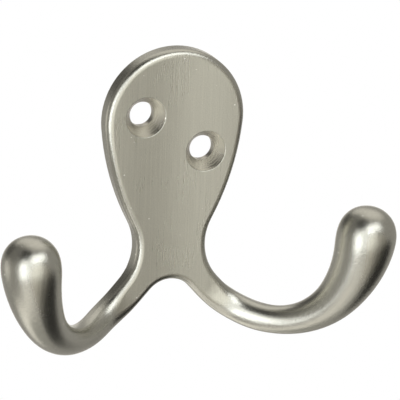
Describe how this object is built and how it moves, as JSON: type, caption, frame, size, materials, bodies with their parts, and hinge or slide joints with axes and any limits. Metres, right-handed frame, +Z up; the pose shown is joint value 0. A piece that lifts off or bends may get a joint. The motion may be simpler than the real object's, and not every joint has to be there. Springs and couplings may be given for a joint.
{
  "type": "double robe hook",
  "caption": "Wall-mounted robe hook: a pear-shaped screw plate splits at its waist into a pair of forward-swept arms that turn up into round knobs, for hanging robes and towels.",
  "frame": {"origin": "on the wall face, midway between the screw holes", "axes": "+X to the right seen from the front, +Y into the wall, +Z up; the front faces -Y"},
  "size_m": [0.0742, 0.0226, 0.0534],
  "materials": {
    "satin_nickel": "satin nickel plate, brushed along the plate's height"
  },
  "bodies": {
    "root": {"hook_casting": "satin_nickel"}
  },
  "joints": []
}
